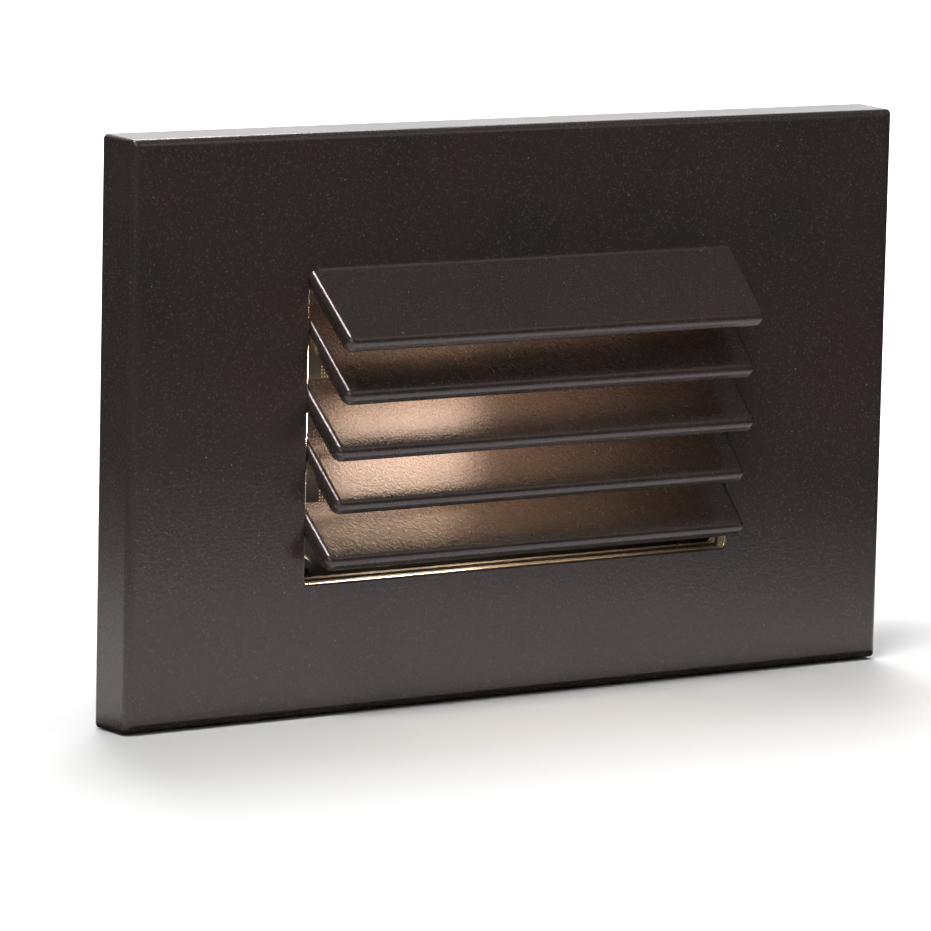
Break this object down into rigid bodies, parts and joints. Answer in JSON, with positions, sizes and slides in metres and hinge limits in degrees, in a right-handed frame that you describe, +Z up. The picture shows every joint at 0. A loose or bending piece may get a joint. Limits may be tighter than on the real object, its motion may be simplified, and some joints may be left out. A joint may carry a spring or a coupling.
{
  "type": "louvred step light",
  "caption": "Wall step light with a horizontal cast louvre face, a warm lit lens behind it and a sealed lamp housing that goes into a single-gang box.",
  "frame": {"origin": "midway between the two box-screw slots, on the wall's surface, which is the mounting bracket's back face", "axes": "+X along the plate to the viewer's right, +Z up, -Y out of the wall towards the viewer, +Y into the wall box"},
  "size_m": [0.1274, 0.0549, 0.0798],
  "materials": {
    "plate_coat": "dark bronze satin powder coat on die-cast aluminium",
    "bracket_coat": "black e-coat on pressed steel",
    "screw_black": "black oxide on steel",
    "steel": "stainless",
    "foam": "closed-cell foam",
    "silicone": "silicone, grey",
    "lens_glass": "prismatic tempered glass",
    "casting": "as cast, shot-blasted",
    "reflector_white": "white moulded",
    "solder_mask": "white solder mask on aluminium",
    "led_package": "phosphor-filled resin",
    "thermal_pad": "soft filled silicone",
    "pin_brass": "tinned brass",
    "nylon_natural": "natural nylon",
    "circuit_board": "green solder mask on glass epoxy",
    "capacitor_sleeve": "shrink sleeve",
    "film_resin": "dipped resin",
    "ferrite": "sintered ferrite",
    "bobbin_plastic": "glass-filled phenolic",
    "winding_tape": "polyester tape over enamelled wire",
    "package_black": "moulded epoxy",
    "varistor_coat": "blue epoxy on zinc oxide",
    "fuse_body": "ceramic tube with plated caps",
    "insulator_sheet": "formed polypropylene sheet",
    "bushing_nylon": "black nylon",
    "ground_green": "green zinc-plated steel"
  },
  "bodies": {
    "fixture": {"mounting_bracket": "bracket_coat", "bracket_screws": "screw_black", "lens": "lens_glass", "lens_gasket": "silicone", "housing": "casting", "reflector": "reflector_white", "led_board": "solder_mask", "led_packages": "led_package", "led_board_screws": "steel", "thermal_pad": "thermal_pad", "feed_pins": "pin_brass", "pin_bushing": "nylon_natural", "driver_board": "circuit_board", "driver_board_screws": "steel", "filter_capacitor": "capacitor_sleeve", "output_capacitor": "capacitor_sleeve", "film_capacitor": "film_resin", "transformer_core": "ferrite", "transformer_bobbin": "bobbin_plastic", "transformer_winding": "winding_tape", "choke": "ferrite", "bridge_rectifier": "package_black", "driver_chip": "package_black", "varistor": "varistor_coat", "fuse": "fuse_body", "driver_insulator": "insulator_sheet", "cover_gasket": "silicone", "rear_cover": "casting", "cover_screws": "steel", "wire_bushing": "bushing_nylon", "ground_screw": "ground_green"},
    "face": {"face_plate": "plate_coat", "louvre_insert": "plate_coat", "insert_push_nuts": "steel", "set_screws": "steel", "wall_gasket": "foam"}
  },
  "joints": [
    {"name": "face_pull", "type": "slide", "parent": "fixture", "child": "face", "axis": [0, -1, 0], "range_m": [0, 0.03]}
  ]
}
